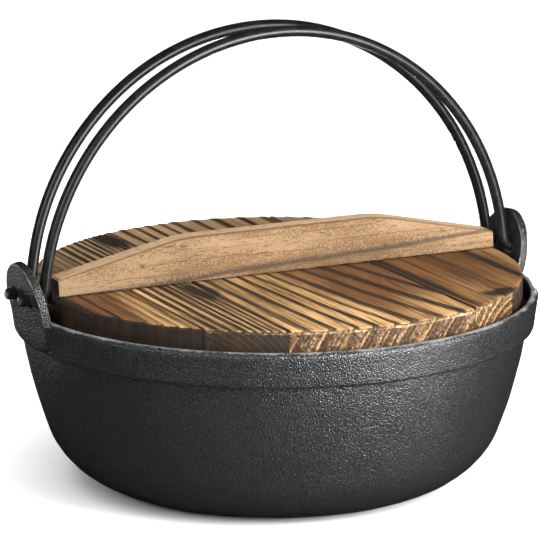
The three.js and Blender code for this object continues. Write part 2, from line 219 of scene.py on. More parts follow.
def new_piece(name, bm):
    """A finished shape as an object at the origin."""
    mesh = bpy.data.meshes.new(name)
    bm.to_mesh(mesh)
    bm.free()
    piece = bpy.data.objects.new(name, mesh)
    smooth_faces(piece)
    bpy.context.scene.collection.objects.link(piece)
    return piece


def combine(piece, tool, operation):
    """Joins a tool shape to the piece or cuts it out of the piece, and removes the tool."""
    modifier = piece.modifiers.new(operation.lower(), "BOOLEAN")
    modifier.operation = operation
    modifier.object = tool
    modifier.solver = "MANIFOLD"
    depsgraph = bpy.context.evaluated_depsgraph_get()
    shape = bpy.data.meshes.new_from_object(piece.evaluated_get(depsgraph))
    shape.materials.clear()
    piece.modifiers.clear()
    piece.data = shape
    smooth_faces(piece)
    bpy.data.objects.remove(tool)


def add_round_bar(bm, start, end, radius, steps):
    """Adds a closed round bar along X from start to end."""
    run = Vector(end) - Vector(start)
    stand = Matrix.Translation(Vector(start) + run / 2) @ Matrix.Rotation(math.pi / 2, 4, "Y")
    bmesh.ops.create_cone(
        bm, cap_ends=True, segments=steps, radius1=radius, radius2=radius, depth=run.length, matrix=stand
    )


pot = new_piece("pot_casting", pot_bowl())
for side in (-1, 1):
    ear = new_piece("ear", pot_ear(side))
    mouth = bmesh.new()
    bmesh.ops.create_cone(
        mouth, cap_ends=True, segments=POT_TURN_STEPS, radius1=RIM_INNER_RADIUS, radius2=RIM_INNER_RADIUS,
        depth=BAND_HEIGHT, matrix=Matrix.Translation((0, 0, POT_HEIGHT - BAND_HEIGHT / 2)),
    )
    combine(ear, new_piece("mouth", mouth), "DIFFERENCE")
    combine(pot, ear, "UNION")
    for hinge in (front_hinge, rear_hinge):
        _, hole_y, hole_z = hinge["pos_m"]
        inside = (side * (EAR_INNER_FACE - EAR_THICKNESS), hole_y, hole_z)
        outside = (side * (EAR_INNER_FACE + 2 * EAR_THICKNESS), hole_y, hole_z)
        drill = bmesh.new()
        add_round_bar(drill, inside, outside, EAR_HOLE_RADIUS, EAR_HOLE_STEPS)
        combine(pot, new_piece("drill", drill), "DIFFERENCE")

EAR_ZONE_X = 0.112
EAR_ZONE_Y = 0.02706
EAR_ZONE_DROP = 0.004
CREASE_ANGLE = math.radians(24)
FILLET_REACH = 0.0022
FILLET_PASSES = 7
SLIVER_MERGE = 0.00006


def ear_zone(bm):
    """The casting's points on and close round the ears."""
    lowest = EAR_TOE - EAR_ZONE_DROP
    return [
        vert
        for vert in bm.verts
        if abs(vert.co.x) > EAR_ZONE_X and abs(vert.co.y) < EAR_ZONE_Y and vert.co.z > lowest
    ]


def soften_ear_creases(bm):
    """Rounds the creases where the ears leave the band into fillets."""
    zone = set(ear_zone(bm))
    bmesh.ops.triangulate(bm, faces=[face for face in bm.faces if not zone.isdisjoint(face.verts)])
    bmesh.ops.remove_doubles(bm, verts=ear_zone(bm), dist=SLIVER_MERGE)
    creases = {
        vert.co.copy().freeze()
        for edge in {edge for vert in ear_zone(bm) for edge in vert.link_edges}
        if edge.is_manifold and edge.calc_face_angle_signed(0) < -CREASE_ANGLE
        for vert in edge.verts
    }
    tree = KDTree(len(creases))
    for index, spot in enumerate(creases):
        tree.insert(spot, index)
    tree.balance()
    near = {vert for vert in ear_zone(bm) if tree.find(vert.co)[2] < 2 * FILLET_REACH}
    long_edges = [
        edge
        for edge in bm.edges
        if edge.calc_length() > FILLET_REACH / 2 and not near.isdisjoint(edge.verts)
    ]
    bmesh.ops.subdivide_edges(bm, edges=long_edges, cuts=1)
    bmesh.ops.triangulate(bm, faces=[face for face in bm.faces if len(face.verts) > 4])
    soft = [vert for vert in ear_zone(bm) if tree.find(vert.co)[2] < FILLET_REACH]
    for _ in range(FILLET_PASSES):
        bmesh.ops.smooth_vert(
            bm, verts=soft, factor=0.5, use_axis_x=True, use_axis_y=True, use_axis_z=True
        )


CAST_WAVE = 0.00018
CAST_WAVE_SIZE = 0.020
CAST_WAVE_OCTAVES = (0.6, 2.0, 3)
FLAT_BASE_RADIUS = 0.05
FLAT_BASE_HEIGHT = 0.001
EAR_FOOT_RISE = 0.001
EAR_FOOT_INSET = 0.0005
EAR_CORNER_FACING = 0.6
EAR_CORNER_SPREAD = 0.35
EAR_WEAR_AND_HIGHLIGHT = 1.1
RIM_WORN_DEPTH = 0.0016
RIM_WEAR = 0.8
BAND_HIGHLIGHT_WIDTH = 0.004
BAND_EDGE_HIGHLIGHT = 0.25


def finish_casting(bm):
    """Gives the outside the faint waves of a sand mould, and marks the worn rim, the ear corners (worn, and
    lightened further as painted highlight) and the band's lower edge (painted highlight).
    """
    worn = bm.verts.layers.float.new("worn")
    bm.normal_update()
    for vert in bm.verts:
        x, y, z = vert.co
        radius = vert.co.xy.length
        upward = vert.normal.z
        # Ear corners: rubbed bare, and lightened further as a painted highlight.
        beside_rim = abs(x) > RIM_RADIUS - EAR_FOOT_INSET and abs(y) < EAR_WIDTH / 2
        if beside_rim or z > POT_HEIGHT + EAR_FOOT_RISE:
            facing = abs(vert.normal.x) / math.cos(EAR_LEAN)
            vert[worn] = EAR_WEAR_AND_HIGHLIGHT * max(0, 1 - abs(facing - EAR_CORNER_FACING) / EAR_CORNER_SPREAD)
        elif z > POT_HEIGHT - RIM_WORN_DEPTH and radius > RIM_INNER_RADIUS:
            vert[worn] = RIM_WEAR * max(0, upward)
        # Band's lower edge: a thin painted highlight line, kept in the worn mask.
        elif abs(z - BAND_BOTTOM) < BAND_EDGE_ROUND and radius > RIM_RADIUS - BAND_HIGHLIGHT_WIDTH:
            vert[worn] = BAND_EDGE_HIGHLIGHT * max(0, -upward)
    for vert in bm.verts:
        off_base = vert.co.xy.length > FLAT_BASE_RADIUS and vert.co.z > FLAT_BASE_HEIGHT
        if off_base and vert.co.xy.dot(vert.normal.xy) > 0:
            wave = noise.fractal(vert.co / CAST_WAVE_SIZE, *CAST_WAVE_OCTAVES)
            vert.co += vert.normal * wave * CAST_WAVE


bm = bmesh.new()
bm.from_mesh(pot.data)
soften_ear_creases(bm)
finish_casting(bm)
bm.to_mesh(pot.data)
bm.free()
smooth_faces(pot)


def feed(tree, node, inputs):
    """Sets a node's inputs to values or links them to sockets."""
    for name, value in inputs.items():
        if isinstance(value, bpy.types.NodeSocket):
            tree.links.new(value, node.inputs[name])
        else:
            node.inputs[name].default_value = value


def place(tree, kind, inputs=None, **settings):
    """A shader node with its settings and its inputs."""
    node = tree.nodes.new(kind)
    for name, value in settings.items():
        setattr(node, name, value)
    feed(tree, node, inputs or {})
    return node


def calc(tree, operation, *values):
    """The result of a Math node on values or sockets."""
    return place(tree, "ShaderNodeMath", dict(enumerate(values)), operation=operation).outputs[0]


def ease(tree, value, low, high, start=0.0, end=1.0):
    """The value eased from start to end as it goes from low to high."""
    limits = {"Value": value, "From Min": low, "From Max": high, "To Min": start, "To Max": end}
    return place(tree, "ShaderNodeMapRange", limits, interpolation_type="SMOOTHSTEP").outputs[0]


def mix(tree, share, first, second):
    """The second colour laid over the first by its share."""
    colours = {0: share, 6: first, 7: second}
    return place(tree, "ShaderNodeMix", colours, data_type="RGBA").outputs[2]


def cloud(tree, where, scale, detail=2.0, rough=0.5):
    """A noise value between 0 and 1."""
    inputs = {"Vector": where, "Scale": scale, "Detail": detail, "Roughness": rough}
    return place(tree, "ShaderNodeTexNoise", inputs).outputs["Fac"]


def stretched(tree, where, scale):
    """Coordinates scaled by a different amount along each axis."""
    return place(tree, "ShaderNodeMapping", {"Vector": where, "Scale": scale}).outputs["Vector"]


def attribute(tree, name):
    """A value that is kept on the piece's own points."""
    return place(tree, "ShaderNodeAttribute", attribute_name=name).outputs["Fac"]


def new_group(name, inputs, outputs):
    """A shader node group with its sockets, its input sockets as seen inside, and its output node."""
    group = bpy.data.node_groups.new(name, "ShaderNodeTree")
    for direction, sockets in (("INPUT", inputs), ("OUTPUT", outputs)):
        for socket in sockets:
            kind = "NodeSocketVector" if socket == "Vector" else "NodeSocketFloat"
            group.interface.new_socket(socket, in_out=direction, socket_type=kind)
    inside = group.nodes.new("NodeGroupInput").outputs
    return group, inside, group.nodes.new("NodeGroupOutput")


def new_material(name):
    """A material with its node tree, its shader and its Object coordinates."""
    material = bpy.data.materials.new(name)
    material.use_nodes = True
    tree = material.node_tree
    shader = tree.nodes["Principled BSDF"]
    where = place(tree, "ShaderNodeTexCoord").outputs["Object"]
    return material, tree, shader, where


def use_group(tree, group, inputs):
    """The outputs of a node group placed in a material, with its own values."""
    return place(tree, "ShaderNodeGroup", inputs, node_tree=group).outputs


def relief(tree, height, strength, depth):
    """The normals of a surface that rises and falls by a height."""
    bumps = {"Height": height, "Strength": strength, "Distance": depth}
    return place(tree, "ShaderNodeBump", bumps).outputs["Normal"]


def edge_wear_group():
    """Edge wear: a mask of the points that are worn (on the pot also painted highlight), broken up into
    specks.
    """
    group, inside, outside = new_group("edge_wear", ("Vector", "Mask", "Speck Scale"), ("Wear",))
    specks = cloud(group, inside["Vector"], inside["Speck Scale"], 4.0, 0.65)
    patches = cloud(group, inside["Vector"], 90.0, 2.0)
    broken = calc(group, "MULTIPLY", inside["Mask"], calc(group, "ADD", specks, patches))
    feed(group, outside, {"Wear": ease(group, broken, 0.55, 1.05)})
    return group


edge_wear = edge_wear_group()

IRON_DARK = (0.0066, 0.0070, 0.0076, 1)
IRON_GREY = (0.0176, 0.0182, 0.0190, 1)
IRON_GRAIN = (0.085, 0.086, 0.086, 1)
IRON_BARE_AND_SHEEN = (0.42, 0.42, 0.41, 1)
IRON_ROUGHNESS = (0.30, 0.36)
IRON_RELIEF = 0.00037
PEBBLE_SCALE = 1450.0
LUMP_SCALE = 900.0
LUMP_SHARE = 0.9
GRAIN_SCALE = 1500.0
BLOTCH_SCALE = 24.0


def cast_iron():
    """Seasoned cast iron: black, pebbled by the sand, satin, with bare grey specks where it is worn; the
    same specks paint a highlight on the ear corners and the band's lower edge.
    """
    material, tree, shader, where = new_material("seasoned_cast_iron")
    domes = {"Vector": where, "Scale": PEBBLE_SCALE, "Smoothness": 0.7}
    pebbles = place(tree, "ShaderNodeTexVoronoi", domes, feature="SMOOTH_F1").outputs["Distance"]
    lumps = cloud(tree, where, LUMP_SCALE, 2.0)
    blotches = cloud(tree, where, BLOTCH_SCALE, 3.0)
    # The worn mask: real wear on the rim and ear corners, painted highlight on the ear corners and the
    # band's lower edge.
    worn = {"Vector": where, "Mask": attribute(tree, "worn"), "Speck Scale": 900.0}
    wear = use_group(tree, edge_wear, worn)["Wear"]
    height = calc(tree, "SUBTRACT", calc(tree, "MULTIPLY", lumps, LUMP_SHARE), pebbles)
    seasoned = mix(tree, ease(tree, height, -0.3, 0.3), IRON_DARK, IRON_GREY)
    grains = ease(tree, cloud(tree, where, GRAIN_SCALE, 3.0, 0.6), 0.58, 0.74, 0.0, 0.6)
    grainy = mix(tree, grains, seasoned, IRON_GRAIN)
    surface = {
        "Base Color": mix(tree, wear, grainy, IRON_BARE_AND_SHEEN),
        "Roughness": ease(tree, blotches, 0.25, 0.75, *IRON_ROUGHNESS),
        "Metallic": calc(tree, "MULTIPLY", wear, 0.55),
        "Specular IOR Level": 0.74,
        "Normal": relief(tree, height, 0.95, IRON_RELIEF),
    }
    feed(tree, shader, surface)
    return material


pot.data.materials.append(cast_iron())
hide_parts("pot_body")
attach(pot, "pot")


# Lid boards: five softwood boards sawn to a disc, edge to edge. The faces are charred and brushed, so
# the hard late wood stands up in dark ridges. The rim shows end grain, char-black on the left boards
# and at the left tip, where the black is partly painted shade.
LID_BOARDS = ("lid_board_1", "lid_board_2", "lid_board_3", "lid_board_4", "lid_board_5")
lid_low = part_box(LID_BOARDS[0])[0]
lid_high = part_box(LID_BOARDS[-1])[1]
LID_RADIUS = (lid_high.x - lid_low.x) / 2
LID_X = (lid_high.x + lid_low.x) / 2
LID_Y = sum(corner.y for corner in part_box("lid_board_3")) / 2
LID_BOTTOM = lid_low.z
LID_THICKNESS = lid_high.z - lid_low.z
LID_EDGE_ROUND = 0.0018
BOARD_CHAMFER = 0.0007
BOARD_COLUMN = 0.0005
BOARD_ROWS = 76
BOARD_SIDE_STEPS = 8
RIDGE_HEIGHT = 0.00035
RIDGE_LEVEL = 0.85
ON_RIM = 1e-5
END_GRAIN_DEPTH = 0.00010
TEAR_SCALE = 200
TEAR_OCTAVES = (0.7, 2.0, 2)
TEAR_LEVEL = 0.4
END_GRAIN_REACH = 0.0005
RIM_WEAR_REACH = 0.0015
JOINT_REACH = 0.0012
LID_CHAR_AND_SHADE_TIP = 0.111
LID_CHAR_AND_SHADE_FADE = 0.006
TIP_SHARE = 0.99999
FAN_X = -0.045
SWAY_ALONG = 7.0
SWAY_ACROSS = 4.0
RIPPLE = 0.00035
RIPPLE_ALONG = 34.0
RIPPLE_ACROSS = 26.0
LATE_START = 0.35
LATE_RISE = 0.5
LATE_FALL = 0.08
SEAT_GAP = 0.0003
DOVETAIL_DEPTH = 0.005
DOVETAIL_HALF_NECK = 0.00375
DOVETAIL_FLARE = 0.0014
LID_TOP = LID_BOTTOM + LID_THICKNESS


class RingGrain:
    """The growth rings of one board: a pith across and below the board, and rings of uneven width."""

    def __init__(self, pith_x, pith_depth, ring_width, uneven, sway, seed, fan=0):
        self.pith_x = pith_x
        self.pith_z = LID_TOP - pith_depth
        self.sway = sway
        self.fan = fan
        self.seed = seed
        draw = random.Random(seed)
        self.radii = [0.0]
        while self.radii[-1] < 2 * LID_RADIUS:
            self.radii.append(self.radii[-1] + ring_width * draw.uniform(1 - uneven, 1 + uneven))

    def phase(self, point):
        """The ring's number at a point, with the share of the ring's width as its fraction."""
        x, y, z = point
        slow = noise.noise((y * SWAY_ALONG, x * SWAY_ACROSS, self.seed))
        quick = noise.noise((y * RIPPLE_ALONG, x * RIPPLE_ACROSS, self.seed + 0.5))
        spread = self.fan * (x - FAN_X) * max(0, LID_Y - y) / LID_RADIUS
        across = x - spread - self.pith_x + self.sway * slow + RIPPLE * quick
        radius = math.hypot(across, z - self.pith_z)
        ring = bisect.bisect_right(self.radii, radius) - 1
        inner, outer = self.radii[ring], self.radii[ring + 1]
        return ring + (radius - inner) / (outer - inner)


def late_wood(phase):
    """How far a point lies in the hard late wood of its ring, from 0 to 1."""
    share = phase % 1
    rise = min(1, max(0, (share - LATE_START) / LATE_RISE))
    fall = min(1, max(0, (1 - share) / LATE_FALL))
    return min(rise * rise * (3 - 2 * rise), fall)


def edge_drop(depth, rounding):
    """How far an eased edge drops at a depth in from it."""
    short = max(0, rounding - depth)
    return rounding - math.sqrt(max(0, rounding**2 - short**2))


def sweep_straight(bm, ring, run):
    """Draws the open ring on by a straight run and returns the last ring."""
    edges = [item for item in ring if isinstance(item, bmesh.types.BMEdge)]
    drawn = bmesh.ops.extrude_edge_only(bm, edges=edges)["geom"]
    verts = [item for item in drawn if isinstance(item, bmesh.types.BMVert)]
    bmesh.ops.translate(bm, vec=run, verts=verts)
    return [item for item in drawn if not isinstance(item, bmesh.types.BMFace)]


def lid_board(left, right, grain):
    """One board between two joints: its faces eased at the rim and the joints, its late wood raised."""
    reach = LID_RADIUS * TIP_SHARE
    start = math.asin(max(-reach, left - LID_X) / LID_RADIUS)
    end = math.asin(min(reach, right - LID_X) / LID_RADIUS)
    columns = round((end - start) * LID_RADIUS / BOARD_COLUMN)
    bm = bmesh.new()
    bmesh.ops.create_grid(bm, x_segments=columns, y_segments=BOARD_ROWS, size=1)
    side = [edge for edge in bm.edges if edge.is_boundary]
    top = bmesh.ops.duplicate(bm, geom=bm.faces[:])["geom"]
    top_verts = [item for item in top if isinstance(item, bmesh.types.BMVert)]
    bmesh.ops.translate(bm, vec=(0, 0, BOARD_SIDE_STEPS), verts=top_verts)
    for _ in range(BOARD_SIDE_STEPS):
        side = sweep_straight(bm, side, (0, 0, 1))

    for vert in bm.verts:
        across, along, level = vert.co
        angle = start + (across + 1) / 2 * (end - start)
        x = LID_RADIUS * math.sin(angle)
        y = LID_RADIUS * math.cos(angle) * math.sin(along * math.pi / 2)
        share = level / BOARD_SIDE_STEPS
        radius = math.hypot(x, y)
        depth = LID_RADIUS - radius
        joint = min(x + LID_X - left, right - LID_X - x)
        drop = max(edge_drop(depth, LID_EDGE_ROUND), BOARD_CHAMFER - joint, 0)
        point = Vector((LID_X + x, LID_Y + y, LID_BOTTOM + LID_THICKNESS * share))
        if share == 0:
            point.z += drop
        elif share == 1:
            point.z += RIDGE_HEIGHT * (late_wood(grain.phase(point)) - RIDGE_LEVEL) - drop
        elif depth < ON_RIM:
            torn = noise.fractal(point * TEAR_SCALE, *TEAR_OCTAVES) - TEAR_LEVEL
            point += Vector((x, y, 0)) * END_GRAIN_DEPTH * min(0, torn) / radius
        vert.co = point
    bmesh.ops.remove_doubles(bm, verts=bm.verts, dist=SEAM_MERGE)
    bmesh.ops.recalc_face_normals(bm, faces=bm.faces)
    return bm


def mark_board(board, grain, left, right):
    """Keeps the ring, the end grain (spread onto the top near the left tip as char with painted shade), the
    worn rim and the dark joints on the board's points.
    """
    names = ("ring", "end_grain", "rim", "joint")
    rings, ends, rim, joints = (board.data.attributes.new(name, "FLOAT", "POINT") for name in names)
    for index, vert in enumerate(board.data.vertices):
        x = vert.co.x - LID_X
        depth = max(0, LID_RADIUS - math.hypot(x, vert.co.y - LID_Y))
        below = LID_TOP - LID_EDGE_ROUND - vert.co.z
        # Near the left tip the top is drawn as dark end grain too: char, with painted shade.
        charred = min(1, max(0, (-x - LID_CHAR_AND_SHADE_TIP) / LID_CHAR_AND_SHADE_FADE))
        rings.data[index].value = grain.phase(vert.co)
        ends.data[index].value = 1 if depth < END_GRAIN_REACH else charred
        rim.data[index].value = max(0, 1 - max(depth, below) / RIM_WEAR_REACH)
        to_joint = min(vert.co.x - left, right - vert.co.x)
        joints.data[index].value = max(0, 1 - to_joint / JOINT_REACH)


def dovetail(foot_z, mouth_z, half_neck, half_length):
    """A bar along X that widens from its mouth down to its foot."""
    bm = bmesh.new()
    bmesh.ops.create_cube(bm, size=2)
    for vert in bm.verts:
        along, across, up = vert.co
        half = half_neck if up > 0 else half_neck + DOVETAIL_FLARE
        z = mouth_z if up > 0 else foot_z
        vert.co = (LID_X + along * half_length, LID_Y + across * half, z)
    return bm


def wood_fibre_group():
    """Wood grain: fine streaks and short dark pores along the Y axis of the coordinates given."""
    group, inside, outside = new_group("wood_fibre", ("Vector", "Streak Scale"), ("Streak", "Pore"))
    long_fibres = stretched(group, inside["Vector"], (1.0, 0.03, 1.0))
    streak = cloud(group, long_fibres, inside["Streak Scale"], 5.0, 0.65)
    short_fibres = stretched(group, inside["Vector"], (1.0, 0.12, 1.0))
    pores = cloud(group, short_fibres, 1500.0, 2.0, 0.5)
    feed(group, outside, {"Streak": streak, "Pore": ease(group, pores, 0.56, 0.72)})
    return group


def ring_tone_group():
    """Growth rings: the late wood's mask from a ring's number and share, and two tones for each ring."""
    inputs = ("Ring", "Late From", "Late Full")
    group, inside, outside = new_group("ring_tone", inputs, ("Late", "Tone", "Depth"))
    share = calc(group, "FRACT", inside["Ring"])
    number = calc(group, "FLOOR", inside["Ring"])
    rise = ease(group, share, inside["Late From"], inside["Late Full"])
    fall = ease(group, share, 0.90, 1.0, 1.0, 0.0)
    feed(group, outside, {"Late": calc(group, "MULTIPLY", rise, fall)})
    for output, shift in (("Tone", 0.0), ("Depth", 0.37)):
        drawn = {"W": calc(group, "ADD", number, shift)}
        value = place(group, "ShaderNodeTexWhiteNoise", drawn, noise_dimensions="1D").outputs["Value"]
        feed(group, outside, {output: value})
    return group


wood_fibre = wood_fibre_group()
ring_tone = ring_tone_group()

WOOD_GOLD = (0.58, 0.345, 0.145, 1)
WOOD_BROWN = (0.150, 0.064, 0.022, 1)
WOOD_SCORCHED = (0.050, 0.026, 0.0125, 1)
WOOD_CHARRED = (0.024, 0.0185, 0.0145, 1)
WOOD_GREY_BROWN = (0.150, 0.103, 0.058, 1)
WOOD_SOOT_AND_SHADE = (0.0205, 0.0160, 0.0122, 1)
END_DARK = (0.022, 0.0125, 0.007, 1)
END_TAN = (0.108, 0.061, 0.031, 1)
END_PALE = (0.45, 0.315, 0.19, 1)
END_GOLD = (0.50, 0.29, 0.115, 1)
END_LAYERS = 9.0
LAYERS_UP = 90.0
FLECK_SCALE = 620.0
BOARD_ROUGHNESS = (0.55, 0.8)
WOOD_RELIEF = 0.0006
WOOD_SPECULAR = 0.12
PALER_TO_RIM_REACH = (0.045, 0.116)
WARMER_ACROSS = (-0.03, 0.04)
GREYER_TO_BACK = (0.0, 0.06)


def scorch_spot(tree, where, x, y, half_x, half_y):
    """A mask over an oval patch of the lid's top, ragged at its edge."""
    sizes = {"Scale": (1 / half_x, 1 / half_y, 0), "Location": (-x / half_x, -y / half_y, 0)}
    oval = place(tree, "ShaderNodeMapping", {"Vector": where, **sizes}).outputs["Vector"]
    spread = place(tree, "ShaderNodeVectorMath", {0: oval}, operation="LENGTH").outputs["Value"]
    ragged = cloud(tree, stretched(tree, where, (1.0, 0.12, 1.0)), 320.0, 3.0)
    return ease(tree, calc(tree, "MULTIPLY_ADD", ragged, 0.9, spread), 0.95, 1.55, 1.0, 0.0)


def charred_wood(
    name, warmth, scorch, late, late_depth, edge_soot_and_shade, rim_wear, ring_lines, warmer=0.0, spots=()
):
    """Charred and brushed softwood: dark late wood on gold to brown early wood, raw or char-black at the
    rim, the black partly painted shade on the left boards.
    """
    material, tree, shader, where = new_material(name)
    late_from, late_full = late
    ring = {"Ring": attribute(tree, "ring"), "Late From": late_from, "Late Full": late_full}
    grain = use_group(tree, ring_tone, ring)
    fibre = use_group(tree, wood_fibre, {"Vector": where, "Streak Scale": 900.0})
    drift = cloud(tree, stretched(tree, where, (1.0, 0.12, 1.0)), 55.0, 3.0)
    patches = cloud(tree, stretched(tree, where, (1.0, 0.3, 1.0)), 28.0, 3.0)
    middle = {0: where, 1: (LID_X, LID_Y, LID_TOP)}
    reach = place(tree, "ShaderNodeVectorMath", middle, operation="DISTANCE").outputs["Value"]
    # Paler, more golden towards the rim and browner towards the middle.
    paler_to_rim = ease(tree, reach, *PALER_TO_RIM_REACH, 0.30, -0.30)
    shade = calc(tree, "ADD", calc(tree, "MULTIPLY_ADD", drift, 1.3, warmth - 1.0), paler_to_rim)
    axes = place(tree, "ShaderNodeSeparateXYZ", {0: where}).outputs
    shade = calc(tree, "ADD", shade, ease(tree, axes["X"], *WARMER_ACROSS, 0.0, warmer))
    toned = calc(tree, "MULTIPLY_ADD", grain["Tone"], 0.5, shade)
    early = mix(tree, ease(tree, toned, 0.0, 1.0), WOOD_GOLD, WOOD_BROWN)
    streaked = mix(tree, ease(tree, fibre["Streak"], 0.42, 0.66, 0.0, 0.8), early, WOOD_SCORCHED)
    burnt = mix(tree, ease(tree, patches, 0.45, 0.72, 0.0, scorch), streaked, WOOD_SCORCHED)
    # Greyer towards the back of the lid.
    greyer_back = mix(tree, ease(tree, axes["Y"], *GREYER_TO_BACK, 0.0, 0.6), burnt, WOOD_GREY_BROWN)
    strength = ease(tree, grain["Depth"], 0.0, 0.6, *late_depth)
    broken = ease(tree, fibre["Streak"], 0.30, 0.55, 0.75, 1.0)
    charred = calc(tree, "MULTIPLY", calc(tree, "MULTIPLY", grain["Late"], strength), broken)
    for spot in spots:
        charred = calc(tree, "MAXIMUM", charred, scorch_spot(tree, where, *spot))
    charred = calc(tree, "MAXIMUM", charred, ease(tree, attribute(tree, "joint"), 0.0, 0.7, 0.0, 0.9))
    face = mix(tree, charred, greyer_back, WOOD_CHARRED)

    flecks = cloud(tree, where, FLECK_SCALE, 5.0, 0.75)
    ring_layers = calc(tree, "MULTIPLY", attribute(tree, "ring"), END_LAYERS)
    layered = {"X": ring_layers, "Y": calc(tree, "MULTIPLY", axes["Z"], LAYERS_UP)}
    layers = cloud(tree, place(tree, "ShaderNodeCombineXYZ", layered).outputs["Vector"], 1.0, 3.0, 0.6)
    rough = calc(tree, "MULTIPLY_ADD", layers, 0.45, calc(tree, "MULTIPLY", flecks, 0.55))
    torn = mix(tree, ease(tree, rough, 0.43, 0.53), END_DARK, END_TAN)
    fuzzy = mix(tree, ease(tree, rough, 0.54, 0.63), torn, END_PALE)
    share = calc(tree, "FRACT", attribute(tree, "ring"))
    darkened = mix(tree, calc(tree, "MULTIPLY", grain["Late"], 0.6), fuzzy, END_DARK)
    line, line_width = ring_lines
    thin = ease(tree, share, 0.02, line_width, line, 0.0)
    ragged = calc(tree, "MULTIPLY", thin, ease(tree, flecks, 0.35, 0.6))
    lined = mix(tree, ragged, darkened, END_GOLD)
    upright = cloud(tree, stretched(tree, where, (1.0, 1.0, 0.15)), 260.0, 4.0, 0.6)
    # The rim's char-black end grain; where it is heavy, on the left boards, it is partly painted shade.
    sooty_and_shaded = mix(tree, ease(tree, upright, 0.45, 0.7, 0.0, 0.5), WOOD_SOOT_AND_SHADE, WOOD_SCORCHED)
    soot_and_shade_lines = mix(tree, calc(tree, "MULTIPLY", thin, 0.5), sooty_and_shaded, WOOD_BROWN)
    soot_and_shade = ease(tree, calc(tree, "ADD", cloud(tree, where, 60.0, 4.0, 0.6), edge_soot_and_shade), 0.75, 1.05)
    end_grain = attribute(tree, "end_grain")
    shown = mix(tree, end_grain, face, mix(tree, soot_and_shade, lined, soot_and_shade_lines))
    edge = calc(tree, "MULTIPLY", attribute(tree, "rim"), rim_wear)
    wear = use_group(tree, edge_wear, {"Vector": where, "Mask": edge, "Speck Scale": 650.0})["Wear"]
    raw = calc(tree, "MULTIPLY", end_grain, calc(tree, "SUBTRACT", 1.0, calc(tree, "MULTIPLY", soot_and_shade, 0.8)))
    height = calc(tree, "ADD", fibre["Streak"], calc(tree, "MULTIPLY", rough, raw))
    surface = {
        "Base Color": mix(tree, wear, shown, END_PALE),
        "Roughness": ease(tree, fibre["Streak"], 0.3, 0.7, *BOARD_ROUGHNESS),
        "Specular IOR Level": WOOD_SPECULAR,
        "Normal": relief(tree, height, 0.5, WOOD_RELIEF),
    }
    feed(tree, shader, surface)
    return material


BOARD_GRAIN = (
    RingGrain(pith_x=-0.150, pith_depth=0.030, ring_width=0.0056, uneven=0.4, sway=0.002, seed=11),
    RingGrain(pith_x=-0.100, pith_depth=0.045, ring_width=0.0023, uneven=0.45, sway=0.001, seed=23),
    RingGrain(pith_x=0.078, pith_depth=0.050, ring_width=0.0076, uneven=0.35, sway=0.002, seed=5, fan=0.25),
    RingGrain(pith_x=0.081, pith_depth=0.029, ring_width=0.0042, uneven=0.3, sway=0.002, seed=31),
    RingGrain(pith_x=0.090, pith_depth=0.034, ring_width=0.0075, uneven=0.5, sway=0.004, seed=42, fan=0.1),
)
RIM_PATCH = (0.0805, -0.0910, 0.0185, 0.0090)
# edge_soot_and_shade: how much of the rim's end grain is char-black; the high values on the left boards are
# partly painted shade.
BOARD_LOOKS = (
    dict(
        warmth=1.10, scorch=0.7, late=(0.45, 0.85), late_depth=(0.45, 1.0),
        edge_soot_and_shade=1.0, rim_wear=0.55, ring_lines=(0.0, 0.2),
    ),
    dict(
        warmth=0.42, scorch=0.5, late=(0.26, 0.50), late_depth=(0.8, 1.0),
        edge_soot_and_shade=0.85, rim_wear=0.65, ring_lines=(0.5, 0.30),
        spots=((-0.0535, -0.027, 0.0055, 0.026), (-0.0510, 0.091, 0.0035, 0.026)),
    ),
    dict(
        warmth=0.20, warmer=0.62, scorch=0.36, late=(0.50, 0.70), late_depth=(0.9, 1.0),
        edge_soot_and_shade=0.16, rim_wear=0.75, ring_lines=(0.45, 0.13),
        spots=((-0.0470, -0.020, 0.0035, 0.024), (-0.0455, 0.091, 0.0045, 0.028)),
    ),
    dict(
        warmth=0.68, warmer=0.3, scorch=0.55, late=(0.66, 0.86), late_depth=(0.05, 0.4),
        edge_soot_and_shade=0.34, rim_wear=0.7, ring_lines=(0.9, 0.45),
        spots=((0.0535, -0.050, 0.0035, 0.085), RIM_PATCH),
    ),
    dict(
        warmth=0.72, warmer=0.3, scorch=0.65, late=(0.66, 0.86), late_depth=(0.05, 0.4),
        edge_soot_and_shade=0.60, rim_wear=0.6, ring_lines=(0.7, 0.2),
        spots=((0.1025, -0.036, 0.0035, 0.060), RIM_PATCH),
    ),
)

PEG_NAMES = [f"lid_peg_{number}" for number in range(1, 9)]
PEG_HOLE_STEPS = 24
GROOVE_HALF_LENGTH = 1.1 * LID_RADIUS


def board_cuts(left, right):
    """The groove for the bar's dovetail and the holes for the pegs that end in this board."""
    groove_half = DOVETAIL_HALF_NECK + SEAT_GAP
    bm = dovetail(LID_TOP - DOVETAIL_DEPTH, LID_TOP + BOARD_CHAMFER, groove_half, GROOVE_HALF_LENGTH)
    for name in PEG_NAMES:
        low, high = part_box(name)
        middle = (low + high) / 2
        if left < high.x and low.x < right:
            near = (low.x - SEAT_GAP, middle.y, middle.z)
            far = (high.x + SEAT_GAP, middle.y, middle.z)
            add_round_bar(bm, near, far, (high.z - low.z) / 2 + SEAT_GAP, PEG_HOLE_STEPS)
    return bm


for index, name in enumerate(LID_BOARDS):
    low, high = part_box(name)
    board = new_piece(f"charred_board_{index + 1}", lid_board(low.x, high.x, BOARD_GRAIN[index]))
    combine(board, new_piece("cuts", board_cuts(low.x, high.x)), "DIFFERENCE")
    mark_board(board, BOARD_GRAIN[index], low.x, high.x)
    board.data.materials.append(charred_wood(f"charred_wood_{index + 1}", **BOARD_LOOKS[index]))
    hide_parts(name)
    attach(board, "lid")


